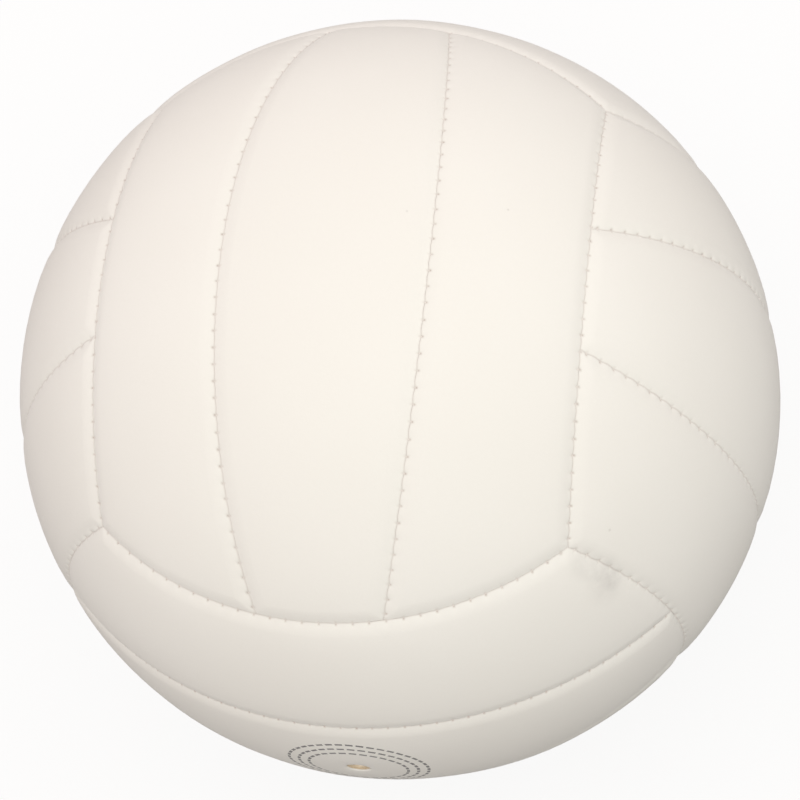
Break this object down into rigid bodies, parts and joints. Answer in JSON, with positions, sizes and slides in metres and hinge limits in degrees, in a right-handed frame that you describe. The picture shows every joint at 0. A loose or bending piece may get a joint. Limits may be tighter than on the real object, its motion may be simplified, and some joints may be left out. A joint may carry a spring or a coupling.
{
  "type": "volleyball",
  "caption": "Round indoor volleyball: stitched soft panels in bowed strips over foam, lining cloth and a rubber bladder, with a needle valve.",
  "frame": {"origin": "centre of the ball", "axes": "+Z out through the middle of the top face, -Y out through the valve, +X to the right seen from the valve"},
  "size_m": [0.21, 0.21, 0.21],
  "materials": {
    "cover": "soft matte synthetic leather",
    "foam": "closed-cell foam sheet",
    "lining": "plain woven cloth",
    "bladder": "smooth moulded butyl",
    "valve_rubber": "matte moulded rubber",
    "core_rubber": "matte moulded rubber",
    "patch": "rubberised cloth",
    "thread": "twisted polyester thread"
  },
  "bodies": {
    "root": {"top_left_cover": "cover", "top_middle_cover": "cover", "top_right_cover": "cover", "bottom_left_cover": "cover", "bottom_middle_cover": "cover", "bottom_right_cover": "cover", "right_front_cover": "cover", "right_middle_cover": "cover", "right_back_cover": "cover", "left_front_cover": "cover", "left_middle_cover": "cover", "left_back_cover": "cover", "back_lower_cover": "cover", "back_middle_cover": "cover", "back_upper_cover": "cover", "front_lower_cover": "cover", "front_middle_cover": "cover", "front_upper_cover": "cover", "top_left_foam": "foam", "top_middle_foam": "foam", "top_right_foam": "foam", "bottom_left_foam": "foam", "bottom_middle_foam": "foam", "bottom_right_foam": "foam", "right_front_foam": "foam", "right_middle_foam": "foam", "right_back_foam": "foam", "left_front_foam": "foam", "left_middle_foam": "foam", "left_back_foam": "foam", "back_lower_foam": "foam", "back_middle_foam": "foam", "back_upper_foam": "foam", "front_lower_foam": "foam", "front_middle_foam": "foam", "front_upper_foam": "foam", "top_left_lining": "lining", "top_middle_lining": "lining", "top_right_lining": "lining", "bottom_left_lining": "lining", "bottom_middle_lining": "lining", "bottom_right_lining": "lining", "right_front_lining": "lining", "right_middle_lining": "lining", "right_back_lining": "lining", "left_front_lining": "lining", "left_middle_lining": "lining", "left_back_lining": "lining", "back_lower_lining": "lining", "back_middle_lining": "lining", "back_upper_lining": "lining", "front_lower_lining": "lining", "front_middle_lining": "lining", "front_upper_lining": "lining", "bladder": "bladder", "valve_housing": "valve_rubber", "valve_core": "core_rubber", "valve_patch": "patch", "seam_thread": "thread"}
  },
  "joints": []
}
